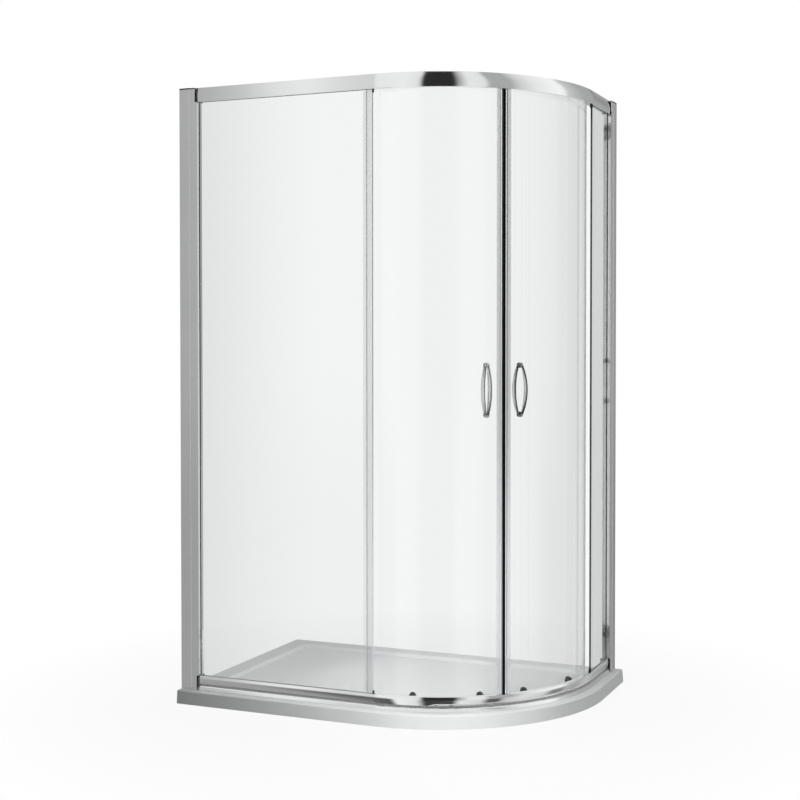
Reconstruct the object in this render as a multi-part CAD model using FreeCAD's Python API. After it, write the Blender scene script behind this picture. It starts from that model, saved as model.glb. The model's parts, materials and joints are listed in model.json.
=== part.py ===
import FreeCAD
import Part
import math
import os
from FreeCAD import Vector

# Offset quadrant shower enclosure on a low stone-resin tray.
# Millimetres. +Z up, +X along the long wall, the room side is -Y.
# The origin is under the middle of the tray's bounding rectangle.
# "s" is the distance inwards from the tray's lower outline, and "z" the height.

# ---- driving dimensions ------------------------------------------------------
tray_length = 1200.0
tray_depth = 800.0
corner_radius = 550.0
tray_height = 40.0
panel_height = 1850.0

tray_draft = 2.8
tray_edge_radius = 4.0
recess_inset_wall = 60.0
recess_inset_front = 86.0
recess_slope_run = 9.0
recess_depth = 8.0
recess_fall = 6.0

glass_thickness = 6.0
fixed_glass_s = 44.2
door_glass_s = 70.5
clearance = 0.2
seat_gap = 0.1
pin_gap = 0.05
overrun = 1.0

rail_height = 44.0
rail_wall = 1.6
rail_skin = 1.2
rail_leg = 1.8
rail_crown_share = 0.45
foot_s = 29.5
foot_height = 12.0
foot_lip = 2.5
foot_crown_back = 3.0
foot_crown_drop = 5.0
groove_low_z = 52.5
groove_high_z = 59.5
groove_depth = 2.6
rail_face_s = 35.5
rail_crown_s = 34.4
rail_top_edge_s = 39.8
bottom_edge_setback = 0.7
slot_outer_s = 37.6
slot_depth = 16.0
slot_inner_gap = 1.0
ledge_edge_s = 64.0
ledge_lip_height = 1.6
rail_inner_s = 78.0
rail_inner_lip = 9.0
bottom_rail_inner_s = 69.6
bottom_upstand = 4.4

wheel_s = 55.8
wheel_width = 5.0
wheel_radius_top = 8.5
wheel_radius_bottom = 7.0
wheel_rounding = 0.5
wheel_web_recess = 0.8
axle_radius = 2.5
axle_overhang = 1.0
axle_collar_wall = 1.2
axle_head_wall = 2.0
axle_head_thickness = 1.7
axle_head_gap = 0.3
rolling_gap = 0.05
top_ledge_drop = 37.0
bottom_ledge_rise = 28.2

hanger_angle_front = 36.4
hanger_angle_rear = 12.4
glass_hole_radius = 4.5
hanger_glass_margin = 13.5
hanger_flange_thickness = 1.2
hanger_flange_gap = 0.5
inner_cap_radius = 9.0
inner_cap_depth = 6.5
inner_cap_rounding = 1.4
inner_cap_gap = 0.15
bottom_glass_overlap = 0.5
bottom_bolt_rise = 13.5
bolt_cap_radius = 8.5
bolt_cap_tip_radius = 4.6
bolt_cap_reach = 7.0
bolt_cap_rounding = 1.2
housing_gap = 0.25
housing_half_width = 11.0
housing_below_bolt = 11.0
housing_above_bolt = 9.0
housing_rounding = 1.2
housing_wall = 1.6
slider_pocket_setback = 1.4
slider_pocket_depth = 4.0
slider_pocket_half = 5.4
slider_pocket_roof = 3.0
slider_below_axle = 5.0
slider_below_glass = 1.5
slider_lip_gap = 0.9
slider_tab_reach = 5.0
slider_tab_height = 4.0
slider_tab_inset = 2.0
slider_tab_root = 0.5
slider_axle_root = 2.0
release_travel = 4.5

bend_angle = 90.0
meeting_angle = 45.0
magnet_width = 4.5
magnet_proud = 0.8
meeting_gap = 0.2
door_glass_leading = 11.0
carrier_width = 22.0
door_trailing_overlap = 36.0
trailing_seal_width = 21.0
trailing_seal_setback = 2.0
seal_wall = 1.1
seal_fit = 0.15
seal_end_gap = 0.3
seal_below_rail = 14.0
seal_into_rail = 4.0
fin_setback = 3.0
fin_lean = 5.0
fin_thickness = 1.0
fin_root_thickness = 1.2
fin_gap = 0.5
fin_end_gap = 2.0

handle_angle = 6.5
handle_spacing = 145.0
handle_mid_height = 972.5
handle_reach = 32.5
handle_end_reach = 11.0
handle_width = 13.0
handle_thickness = 6.0
handle_slimming = 0.35
handle_boss_radius = 8.0
handle_boss_thickness = 3.0
handle_neck_start = 2.0
handle_washer_thickness = 1.0
handle_washer_inset = 0.8
handle_stud_radius = 3.0
handle_stud_reach = 7.5
handle_hole_gap = 1.0

channel_width = 36.0
channel_wall = 2.0
channel_outer_s = 28.0
channel_inner_s = 62.0
post_reach = 61.0
post_wall = 1.8
post_back_gap = 8.0
post_pocket_depth = 14.0
glazing_bead = 1.2
glazing_notch_gap = 0.4
glass_end_gap = 2.0
cap_thickness = 4.5
cap_peg_depth = 8.0
bracket_thickness = 8.0
spigot_length = 20.0
spigot_inset = 2.0
bottom_bracket_screw_rise = 7.0

wall_hole_radius = 2.5
wall_screw_count = 3
wall_screw_end_distance = 110.0
post_screw_x = 22.0
post_screw_end_distance = 160.0
post_screw_radius = 1.6
screw_fit = 0.02
screw_head_thickness = 1.7
bracket_screw_bite = 5.0

fixed_glass_past_tangent = 6.0
setting_block_height = 2.0
setting_block_length = 40.0
glass_strip_end_gap = 0.5
clip_length = 3.2
clip_show = 9.0
clip_wall = 1.0
infill_depth = 3.0
infill_gap = 0.3
infill_start_angle = 0.1
door_travel_deg = 20.0
buffer_length = 16.0
buffer_height = 13.0
buffer_gap = 0.3

waste_x = 320.0
waste_y = -80.0
waste_flange_radius = 56.0
waste_hole_radius = 45.0
waste_bore_radius = 40.0
waste_flange_thickness = 3.0
waste_seat_gap = 1.0
waste_gasket_thickness = 1.0
waste_skirt_gap = 0.5
waste_stem_radius = 6.0
waste_hub_wall = 3.0
waste_hub_length = 5.0
waste_arm_width = 3.0
waste_arm_height = 4.0
waste_outlet_radius = 41.5
waste_outlet_depth = 16.0
waste_skirt_low_z = 2.0
waste_gap = 4.0
waste_dome_rise = 4.0
waste_dome_edge = 1.2
waste_collar_wall = 2.5

# ---- sizes that follow from them ----------------------------------------------
half_length = tray_length / 2
half_depth = tray_depth / 2
wall_x = -half_length
wall_y = half_depth
centre_x = half_length - corner_radius
centre_y = corner_radius - half_depth
total_height = tray_height + panel_height
long_straight = centre_x - wall_x
short_straight = wall_y - centre_y
centre = Vector(centre_x, centre_y, 0)
up = Vector(0, 0, 1)

glass_half = glass_thickness / 2
fixed_outer_s = fixed_glass_s - glass_half
fixed_inner_s = fixed_glass_s + glass_half
door_outer_s = door_glass_s - glass_half
door_inner_s = door_glass_s + glass_half
leg_outer_s = fixed_inner_s + slot_inner_gap
leg_inner_s = leg_outer_s + rail_leg
lip_inner_s = ledge_edge_s + rail_wall
groove_s = rail_face_s + groove_depth

top_rail_low = total_height - rail_height
rail_crown_z = top_rail_low + rail_crown_share * rail_height
top_slot_roof = top_rail_low + slot_depth
top_web_z = total_height - rail_wall
top_ledge_z = total_height - top_ledge_drop
foot_top = tray_height + foot_height
bottom_rail_high = tray_height + rail_height
bottom_slot_floor = bottom_rail_high - slot_depth
bottom_web_z = tray_height + rail_wall
bottom_ledge_z = tray_height + bottom_ledge_rise - rail_wall
fixed_glass_low = bottom_slot_floor + setting_block_height
fixed_glass_high = top_slot_roof - setting_block_height

wheel_low_s = wheel_s - wheel_width / 2
wheel_high_s = wheel_s + wheel_width / 2
wheel_track_radius = corner_radius - wheel_s
top_wheel_z = top_ledge_z + rolling_gap + wheel_radius_top
bottom_wheel_z = bottom_ledge_z - rolling_gap - wheel_radius_bottom
door_glass_high = top_wheel_z + hanger_glass_margin
door_glass_low = bottom_wheel_z + wheel_radius_bottom - bottom_glass_overlap
bottom_bolt_z = door_glass_low + bottom_bolt_rise
door_glass_radius = corner_radius - door_glass_s
shank_radius = glass_hole_radius - clearance

post_end_x = wall_x + post_reach
rail_end_x = post_end_x
rail_end_y = wall_y - post_reach
bracket_start_x = rail_end_x - bracket_thickness
post_outer_s = channel_outer_s + channel_wall + clearance
post_inner_s = channel_inner_s - channel_wall - clearance
pocket_outer_s = fixed_outer_s - glazing_bead
pocket_inner_s = fixed_inner_s + glazing_bead
glass_end_x = post_end_x - post_pocket_depth + glass_end_gap
fixed_edge_x = centre_x - fixed_glass_past_tangent
post_top_z = total_height - cap_thickness

seal_low = bottom_rail_high - seal_below_rail
seal_high = top_rail_low + seal_into_rail
seal_outer_s = door_outer_s - seal_fit - seal_wall
seal_inner_s = door_inner_s + seal_fit + seal_wall

os.makedirs("parts", exist_ok=True)
parts = {}


# ---- helpers --------------------------------------------------------------------
def profile(points):
    """Face in the plane x = 0 from (s, z) points; a triple ("arc", mid, end) bends."""
    def to_vector(point):
        return Vector(0, point[0] - half_depth, point[1])

    edges = []
    last = to_vector(points[0])
    first = last
    for item in points[1:]:
        if item[0] == "arc":
            middle = to_vector(item[1])
            end = to_vector(item[2])
            edges.append(Part.Arc(last, middle, end).toShape())
        else:
            end = to_vector(item)
            edges.append(Part.LineSegment(last, end).toShape())
        last = end
    if last.distanceToPoint(first) > 1e-6:
        edges.append(Part.LineSegment(last, first).toShape())
    return Part.Face(Part.Wire(edges))


def band(s0, s1, z0, z1):
    """Rectangular section between two insets and two heights."""
    return profile([(s0, z0), (s1, z0), (s1, z1), (s0, z1)])


def along_rail(face, start_x, end_y):
    """Carry a section along the front straight, the bend and the side straight."""
    front = face.copy()
    front.translate(Vector(start_x, 0, 0))
    front = front.extrude(Vector(centre_x - start_x, 0, 0))
    bend = face.copy()
    bend.translate(Vector(centre_x, 0, 0))
    side = bend.copy()
    bend = bend.revolve(centre, up, bend_angle)
    side.rotate(centre, up, bend_angle)
    side = side.extrude(Vector(0, end_y - centre_y, 0))
    return front.fuse([bend, side])


def along_bend(face, from_angle, to_angle):
    """Carry a section round the bend; angles count from the front tangent."""
    start = face.copy()
    start.translate(Vector(centre_x, 0, 0))
    start.rotate(centre, up, from_angle)
    return start.revolve(centre, up, to_angle - from_angle)


def front_box(x0, x1, s0, s1, z0, z1):
    return Part.makeBox(x1 - x0, s1 - s0, z1 - z0, Vector(x0, s0 - half_depth, z0))


def mid_box(half_width, s0, s1, z0, z1):
    """Box centred on the front tangent line."""
    return front_box(centre_x - half_width, centre_x + half_width, s0, s1, z0, z1)


def at_angle(shape, angle):
    """Turn a piece built at the front tangent to its place on the bend."""
    turned = shape.copy()
    turned.rotate(centre, up, angle)
    return turned


def radial_cylinder(radius, s0, s1, z, x=None):
    at_x = centre_x if x is None else x
    return Part.makeCylinder(radius, s1 - s0, Vector(at_x, s0 - half_depth, z), Vector(0, 1, 0))


def outward_cone(radius, tip_radius, s, reach, z):
    """Cone on the front tangent line that points out into the room from inset s."""
    return Part.makeCone(radius, tip_radius, reach, Vector(centre_x, s - half_depth, z), Vector(0, -1, 0))


def edges_at_s(shape, s):
    """Edges that lie in the upright plane at inset s."""
    y = s - half_depth
    return [e for e in shape.Edges if max(abs(e.BoundBox.YMin - y), abs(e.BoundBox.YMax - y)) < pin_gap / 2]


def edges_at_z(shape, z):
    return [e for e in shape.Edges if max(abs(e.BoundBox.ZMin - z), abs(e.BoundBox.ZMax - z)) < pin_gap / 2]


def mirrored(shape):
    """The other door: the reflection across the vertical plane of the meeting line."""
    return shape.mirror(centre, Vector(1, 1, 0))


def other_wall(shape):
    """The other wall's piece: mirrored, then moved to the end of the short straight."""
    copy = mirrored(shape)
    copy.translate(Vector(0, short_straight - long_straight, 0))
    return copy


def add(name, *solids):
    parts[name] = solids[0] if len(solids) == 1 else Part.makeCompound(list(solids))


# ---- tray --------------------------------------------------------------------------
def tray_outline(inset_front, inset_wall, z):
    """Closed wire of the quadrant at a height, inset from its room and wall sides."""
    x0 = wall_x + inset_wall
    y0 = -half_depth + inset_front
    x1 = half_length - inset_front
    y1 = wall_y - inset_wall
    reach = (corner_radius - inset_front) * math.sqrt(0.5)
    middle = Vector(centre_x + reach, centre_y - reach, z)
    corners = [Vector(x1, centre_y, z), Vector(x1, y1, z), Vector(x0, y1, z), Vector(x0, y0, z),
               Vector(centre_x, y0, z)]
    edges = [Part.LineSegment(corners[i], corners[i + 1]).toShape() for i in range(4)]
    edges.append(Part.Arc(corners[4], middle, corners[0]).toShape())
    return Part.Wire(edges)


def make_tray():
    rounding = tray_edge_radius
    slope = tray_draft * (1 - rounding / tray_height)
    shoulder = tray_height - rounding
    bevel = rounding * math.sqrt(0.5)
    rim_face = profile([
        (0, 0), (slope, shoulder),
        ("arc", (slope + rounding - bevel, shoulder + bevel), (slope + rounding, tray_height)),
        (recess_inset_front, tray_height), (recess_inset_front, 0)])
    middle = Part.Face(tray_outline(recess_inset_front, 0, 0)).extrude(Vector(0, 0, tray_height))
    tray = along_rail(rim_face, wall_x, wall_y).fuse(middle).removeSplitter()

    inset_front = recess_inset_front + recess_slope_run
    inset_wall = recess_inset_wall + recess_slope_run
    rim = tray_outline(recess_inset_front, recess_inset_wall, tray_height)
    floor_z = tray_height - recess_depth
    floor = tray_outline(inset_front, inset_wall, floor_z)
    tray = tray.cut(Part.makeLoft([floor, rim], True, True))

    fall_base = tray_outline(inset_front, inset_wall, floor_z - recess_fall - overrun)
    fall_prism = Part.Face(fall_base).extrude(Vector(0, 0, recess_fall + overrun))
    far_corner = math.hypot(waste_x - wall_x, wall_y - waste_y)
    fall_cone = Part.makeCone(waste_flange_radius, far_corner, recess_fall,
                              Vector(waste_x, waste_y, floor_z - recess_fall))
    tray = tray.cut(fall_cone.common(fall_prism))

    seat_z = floor_z - recess_fall - waste_flange_thickness
    seat = Part.makeCylinder(waste_flange_radius + waste_seat_gap, 2 * waste_flange_thickness,
                             Vector(waste_x, waste_y, seat_z))
    hole = Part.makeCylinder(waste_hole_radius, tray_height, Vector(waste_x, waste_y, -overrun))
    return tray.cut([seat, hole])


def make_waste():
    flange_top = tray_height - recess_depth - recess_fall
    flange_low = flange_top - waste_flange_thickness + waste_gasket_thickness
    spot = Vector(waste_x, waste_y, 0)

    def standing_cylinder(radius, low, high):
        return Part.makeCylinder(radius, high - low, spot + up * low)

    flange = standing_cylinder(waste_flange_radius, flange_low, flange_top)
    skirt = standing_cylinder(waste_hole_radius - waste_skirt_gap, waste_skirt_low_z, flange_low)
    bore = standing_cylinder(waste_bore_radius, -overrun, tray_height)
    outlet = standing_cylinder(waste_outlet_radius, -overrun, waste_skirt_low_z + waste_outlet_depth)
    ring = flange.fuse(skirt).cut([bore, outlet])
    hub_high = flange_low - overrun
    hub_low = hub_high - waste_hub_length
    arms = []
    for turn in (0, 60, 120):
        arm = Part.makeBox(2 * (waste_bore_radius + overrun), waste_arm_width, waste_arm_height,
                           spot + Vector(-waste_bore_radius - overrun, -waste_arm_width / 2,
                                         hub_high - waste_arm_height))
        arm.rotate(spot, up, turn)
        arms.append(arm)
    hub = standing_cylinder(waste_stem_radius + waste_hub_wall, hub_low, hub_high)
    socket = standing_cylinder(waste_stem_radius + pin_gap, hub_low - overrun, hub_high + overrun)
    body = ring.fuse(arms + [hub]).cut(socket)

    gasket_low = flange_low - waste_gasket_thickness
    gasket = standing_cylinder(waste_flange_radius - overrun, gasket_low, flange_low)
    gasket = gasket.cut(standing_cylinder(waste_hole_radius + clearance, gasket_low - overrun,
                                          flange_low + overrun))

    # Domed cover that stands on its stem, with a water gap all round.
    dome_low = flange_top + waste_gap
    dome_top = dome_low + waste_dome_edge + waste_dome_rise
    dome_radius = (waste_flange_radius ** 2 + waste_dome_rise ** 2) / (2 * waste_dome_rise)
    disc = standing_cylinder(waste_flange_radius, dome_low, dome_top)
    dome = disc.common(Part.makeSphere(dome_radius, spot + up * (dome_top - dome_radius)))
    collar = standing_cylinder(waste_stem_radius + waste_collar_wall, hub_high, dome_low)
    stem = standing_cylinder(waste_stem_radius, hub_low, dome_low + waste_dome_edge / 2)
    cover = dome.fuse([collar, stem])
    return body, gasket, cover


add("shower_tray", make_tray())
waste_body, waste_gasket, waste_cover = make_waste()
add("waste_body", waste_body)
add("waste_gasket", waste_gasket)
add("waste_cover", waste_cover)


# ---- rails -------------------------------------------------------------------------
def top_rail_face():
    """Convex front, glazing slot with a roof, and the roller ledge behind."""
    outer = profile([
        (rail_face_s, top_rail_low),
        ("arc", (rail_crown_s, rail_crown_z), (rail_top_edge_s, total_height)),
        (rail_inner_s, total_height),
        (rail_inner_s, total_height - rail_inner_lip),
        (rail_inner_s - rail_wall, total_height - rail_inner_lip),
        (rail_inner_s - rail_wall, top_web_z),
        (leg_inner_s, top_web_z),
        (leg_inner_s, top_ledge_z),
        (ledge_edge_s, top_ledge_z),
        (ledge_edge_s, top_ledge_z + ledge_lip_height),
        (lip_inner_s, top_ledge_z + ledge_lip_height),
        (lip_inner_s, top_ledge_z - rail_wall),
        (leg_inner_s, top_ledge_z - rail_wall),
        (leg_inner_s, top_rail_low),
        (leg_outer_s, top_rail_low),
        (leg_outer_s, top_slot_roof),
        (slot_outer_s, top_slot_roof),
        (slot_outer_s, top_rail_low)])
    chamber_low = top_slot_roof + rail_wall
    bulge = (slot_outer_s + rail_skin, (top_slot_roof + top_web_z) / 2 + 2 * rail_wall)
    chamber = profile([
        (slot_outer_s, chamber_low),
        (leg_outer_s, chamber_low),
        (leg_outer_s, top_web_z),
        (rail_top_edge_s + rail_skin, top_web_z),
        ("arc", bulge, (slot_outer_s, chamber_low))])
    return outer.cut(chamber)


def bottom_rail_face():
    """Sill foot, shadow groove, convex front, glazing slot, and the release ledge."""
    crown_z = (groove_high_z + bottom_rail_high) / 2
    outer = profile([
        (foot_s, tray_height),
        (foot_s, tray_height + foot_lip),
        ("arc", (rail_face_s - foot_crown_back, foot_top - foot_crown_drop), (rail_face_s, foot_top)),
        (groove_s, groove_low_z),
        (groove_s, groove_high_z),
        (rail_face_s, groove_high_z),
        ("arc", (rail_crown_s, crown_z), (rail_face_s + bottom_edge_setback, bottom_rail_high)),
        (slot_outer_s, bottom_rail_high),
        (slot_outer_s, bottom_slot_floor),
        (leg_outer_s, bottom_slot_floor),
        (leg_outer_s, bottom_rail_high),
        (leg_inner_s, bottom_rail_high),
        (leg_inner_s, bottom_ledge_z + rail_wall),
        (lip_inner_s, bottom_ledge_z + rail_wall),
        (lip_inner_s, bottom_ledge_z - ledge_lip_height),
        (ledge_edge_s, bottom_ledge_z - ledge_lip_height),
        (ledge_edge_s, bottom_ledge_z),
        (leg_inner_s, bottom_ledge_z),
        (leg_inner_s, bottom_web_z),
        (bottom_rail_inner_s - rail_wall, bottom_web_z),
        (bottom_rail_inner_s - rail_wall, bottom_web_z + bottom_upstand),
        (bottom_rail_inner_s, bottom_web_z + bottom_upstand),
        (bottom_rail_inner_s, tray_height)])
    return outer.cut(band(groove_s + rail_wall, leg_outer_s, bottom_web_z, bottom_slot_floor - rail_wall))


# Screw that holds each rail to its end bracket, through the leg behind the glass.
bracket_screw_x = rail_end_x + spigot_length / 2
top_bracket_screw_z = (top_slot_roof + total_height) / 2
bottom_bracket_screw_z = bottom_web_z + bottom_bracket_screw_rise


def make_rail(face, screw_z):
    rail = along_rail(face, rail_end_x, rail_end_y)
    hole = radial_cylinder(post_screw_radius + clearance, leg_outer_s - overrun, leg_inner_s + overrun, screw_z,
                           bracket_screw_x)
    return rail.cut([hole, other_wall(hole)])


add("top_rail", make_rail(top_rail_face(), top_bracket_screw_z))
add("bottom_rail", make_rail(bottom_rail_face(), bottom_bracket_screw_z))


def make_bracket(plate_face, spigot_s, spigot_z0, spigot_z1, screw_z):
    """End plate between post and rail, with a spigot that fills the rail's chamber."""
    plate = plate_face.copy()
    plate.translate(Vector(bracket_start_x, 0, 0))
    plate = plate.extrude(Vector(bracket_thickness - seat_gap, 0, 0))
    spigot = front_box(bracket_start_x + overrun, rail_end_x + spigot_length, spigot_s, leg_outer_s - clearance,
                       spigot_z0 + clearance, spigot_z1 - clearance)
    hole = radial_cylinder(post_screw_radius, spigot_s - overrun, leg_outer_s + overrun, screw_z, bracket_screw_x)
    glass_way = front_box(bracket_start_x - overrun, rail_end_x + overrun, fixed_outer_s - glazing_notch_gap,
                          fixed_inner_s + glazing_notch_gap, fixed_glass_low - overrun,
                          fixed_glass_high + overrun)
    return plate.fuse(spigot).cut([hole, glass_way])


top_plate = profile([
    (rail_face_s + clearance, top_rail_low + clearance),
    ("arc", (rail_crown_s + clearance, rail_crown_z), (rail_top_edge_s + clearance, total_height - clearance)),
    (lip_inner_s, total_height - clearance),
    (lip_inner_s, top_rail_low + clearance)])
top_bracket = make_bracket(top_plate, rail_top_edge_s + spigot_inset, top_slot_roof + rail_wall, top_web_z,
                           top_bracket_screw_z)

bottom_plate = profile([
    (foot_s + clearance, tray_height + seat_gap),
    (foot_s + clearance, tray_height + foot_lip),
    ("arc", (rail_face_s - foot_crown_back + clearance, foot_top - foot_crown_drop),
     (rail_face_s + clearance, foot_top)),
    (rail_face_s + clearance, bottom_rail_high - clearance),
    (lip_inner_s, bottom_rail_high - clearance),
    (lip_inner_s, tray_height + seat_gap)])
bottom_bracket = make_bracket(bottom_plate, groove_s + rail_wall + clearance, bottom_web_z,
                              bottom_slot_floor - rail_wall, bottom_bracket_screw_z)

add("rail_bracket_top_left", top_bracket)
add("rail_bracket_top_right", other_wall(top_bracket))
add("rail_bracket_bottom_left", bottom_bracket)
add("rail_bracket_bottom_right", other_wall(bottom_bracket))

bracket_screws = []
for screw_z in (top_bracket_screw_z, bottom_bracket_screw_z):
    shank = radial_cylinder(post_screw_radius - screw_fit, leg_outer_s - bracket_screw_bite, leg_inner_s, screw_z,
                            bracket_screw_x)
    head = radial_cylinder(post_screw_radius * 2, leg_inner_s, leg_inner_s + screw_head_thickness, screw_z,
                           bracket_screw_x)
    screw = shank.fuse(head)
    bracket_screws += [screw, other_wall(screw)]
add("bracket_screws", *bracket_screws)


# ---- wall channels, side posts and caps --------------------------------------------
def upright(points, z0, z1):
    """Extrude an (x from the wall, s) outline up between two heights."""
    corners = [Vector(wall_x + x, s - half_depth, z0) for x, s in points]
    face = Part.Face(Part.makePolygon(corners + [corners[0]]))
    return face.extrude(Vector(0, 0, z1 - z0))


def wall_box(x0, x1, s0, s1, z0, z1):
    """Box whose x counts from the wall."""
    return front_box(wall_x + x0, wall_x + x1, s0, s1, z0, z1)


def spread(low, high, count):
    step = (high - low) / (count - 1)
    return [low + step * i for i in range(count)]


wall_screw_heights = spread(tray_height + wall_screw_end_distance, total_height - wall_screw_end_distance,
                            wall_screw_count)
post_screw_heights = spread(tray_height + post_screw_end_distance, total_height - post_screw_end_distance,
                            wall_screw_count)
wall_screw_s = (channel_outer_s + channel_inner_s) / 2
post_screw_at_x = wall_x + post_screw_x


def make_channel():
    inner_low = channel_outer_s + channel_wall
    inner_high = channel_inner_s - channel_wall
    channel = upright([(0, channel_outer_s), (channel_width, channel_outer_s), (channel_width, inner_low),
                       (channel_wall, inner_low), (channel_wall, inner_high), (channel_width, inner_high),
                       (channel_width, channel_inner_s), (0, channel_inner_s)], tray_height, post_top_z)
    face_edges = [e for e in edges_at_s(channel, channel_outer_s)
                  if e.BoundBox.XMin > wall_x + channel_width - pin_gap]
    channel = channel.makeFillet(channel_wall * 0.6, face_edges)
    holes = []
    for z in wall_screw_heights:
        spot = Vector(wall_x - overrun, wall_screw_s - half_depth, z)
        holes.append(Part.makeCylinder(wall_hole_radius, channel_wall + 2 * overrun, spot, Vector(1, 0, 0)))
    for z in post_screw_heights:
        holes.append(radial_cylinder(post_screw_radius + clearance, inner_high - overrun,
                                     channel_inner_s + overrun, z, post_screw_at_x))
    return channel.cut(holes)


def make_post():
    reach = post_reach
    back = post_back_gap
    pocket = reach - post_pocket_depth
    wall = post_wall
    shell = upright([(back, post_outer_s), (reach, post_outer_s), (reach, pocket_outer_s), (pocket, pocket_outer_s),
                     (pocket, pocket_inner_s), (reach, pocket_inner_s), (reach, post_inner_s), (back, post_inner_s)],
                    tray_height + seat_gap, post_top_z)
    chamber = upright([(back + wall, post_outer_s + wall), (reach - wall, post_outer_s + wall),
                       (reach - wall, pocket_outer_s - wall), (pocket - wall, pocket_outer_s - wall),
                       (pocket - wall, pocket_inner_s + wall), (reach - wall, pocket_inner_s + wall),
                       (reach - wall, post_inner_s - wall), (back + wall, post_inner_s - wall)],
                      tray_height, post_top_z + overrun)
    notch_x = bracket_start_x - seat_gap
    low_notch = front_box(notch_x, post_end_x + overrun, channel_outer_s, channel_inner_s, tray_height - overrun,
                          bottom_rail_high + seat_gap)
    high_notch = front_box(notch_x, post_end_x + overrun, channel_outer_s, channel_inner_s,
                           top_rail_low - seat_gap, total_height + overrun)
    holes = [radial_cylinder(post_screw_radius + pin_gap, post_inner_s - wall - overrun, post_inner_s + overrun, z,
                             post_screw_at_x) for z in post_screw_heights]
    return shell.cut([chamber, low_notch, high_notch] + holes)


def rounded_plate(x0, x1, s0, s1):
    plate = wall_box(x0, x1, s0, s1, post_top_z, total_height)
    return plate.makeFillet(cap_thickness * 0.4, edges_at_z(plate, total_height))


def make_channel_cap():
    """Dark cap over the channel, with a peg between the channel's back and the post."""
    peg = wall_box(channel_wall + clearance, post_back_gap - clearance, post_outer_s, post_inner_s,
                   post_top_z - cap_peg_depth, post_top_z)
    return rounded_plate(0, channel_width, channel_outer_s, channel_inner_s).fuse(peg)


def make_post_cap():
    """Pale plug over the rest of the post, beside the channel's cap."""
    inner_wall = post_wall + clearance
    peg = wall_box(channel_width + 2 * seat_gap, post_reach - post_pocket_depth - inner_wall,
                   post_outer_s + inner_wall, post_inner_s - inner_wall, post_top_z - cap_peg_depth, post_top_z)
    plate = rounded_plate(channel_width + seat_gap, post_reach - bracket_thickness - 2 * seat_gap,
                          post_outer_s, post_inner_s)
    return plate.fuse(peg)


for name, shape in (("wall_channel", make_channel()), ("side_post", make_post()),
                    ("channel_cap", make_channel_cap()), ("post_cap", make_post_cap())):
    add(name + "_left", shape)
    add(name + "_right", other_wall(shape))

post_screws = []
for z in post_screw_heights:
    shank = radial_cylinder(post_screw_radius, post_inner_s - post_wall - overrun, channel_inner_s, z,
                            post_screw_at_x)
    head = radial_cylinder(post_screw_radius * 2.2, channel_inner_s, channel_inner_s + screw_head_thickness, z,
                           post_screw_at_x)
    screw = shank.fuse(head)
    post_screws += [screw, other_wall(screw)]
add("post_screws", *post_screws)


# ---- fixed glass and its seals ------------------------------------------------------
fixed_glass = front_box(glass_end_x, fixed_edge_x, fixed_outer_s, fixed_inner_s, fixed_glass_low, fixed_glass_high)
short_side_room = Part.makeBox(tray_length, tray_depth, total_height,
                               Vector(0, centre_y + fixed_glass_past_tangent, 0))
add("fixed_glass_left", fixed_glass)
add("fixed_glass_right", other_wall(fixed_glass).common(short_side_room))


def glass_strips(length):
    """Wedge strip outside and bead inside the glass, in the top and the bottom slot."""
    strips = []
    x0 = fixed_edge_x - length
    for low, high in ((fixed_glass_low, bottom_rail_high), (top_rail_low, fixed_glass_high)):
        strips.append(front_box(x0, fixed_edge_x, slot_outer_s + seat_gap, fixed_outer_s - seat_gap, low, high))
        strips.append(front_box(x0, fixed_edge_x, fixed_inner_s + seat_gap, leg_outer_s - seat_gap, low, high))
    return strips


left_strip_length = fixed_edge_x - rail_end_x - glass_strip_end_gap
right_strip_length = left_strip_length - (long_straight - short_straight)
add("rail_gasket_left", *glass_strips(left_strip_length))
add("rail_gasket_right", *[mirrored(strip) for strip in glass_strips(right_strip_length)])

post_strips = []
for s0, s1 in ((pocket_outer_s + seat_gap, fixed_outer_s - seat_gap),
               (fixed_inner_s + seat_gap, pocket_inner_s - seat_gap)):
    post_strips.append(front_box(glass_end_x, post_end_x + overrun, s0, s1, bottom_rail_high + overrun,
                                 top_rail_low - overrun))
add("post_gasket_left", *post_strips)
add("post_gasket_right", *[other_wall(strip) for strip in post_strips])


def setting_block(x):
    return front_box(x - setting_block_length / 2, x + setting_block_length / 2, slot_outer_s + clip_wall,
                     leg_outer_s - clearance, bottom_slot_floor, fixed_glass_low)


setting_blocks = []
for share in (0.12, 0.8):
    setting_blocks.append(setting_block(fixed_edge_x - left_strip_length * share))
    setting_blocks.append(mirrored(setting_block(fixed_edge_x - right_strip_length * share)))
add("setting_blocks", *setting_blocks)

# Dark plastic stop at each free corner of the fixed glass, pushed into the slot.
clips = []
for low, high in ((bottom_slot_floor, bottom_rail_high + clip_show), (top_rail_low - clip_show, top_slot_roof)):
    clip = front_box(fixed_edge_x + seat_gap, fixed_edge_x + clip_length, fixed_outer_s - clip_wall,
                     leg_outer_s - seat_gap, low, high)
    clips += [clip, mirrored(clip)]
add("glass_stop_clips", *clips)

# Cover strips close the empty part of both slots round the bend.
infills = []
for low, high in ((bottom_rail_high - infill_depth, bottom_rail_high), (top_rail_low, top_rail_low + infill_depth)):
    strip = band(slot_outer_s + infill_gap, leg_outer_s - infill_gap, low, high)
    infills.append(along_bend(strip, infill_start_angle, bend_angle - infill_start_angle))
add("slot_infills", *infills)

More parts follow.
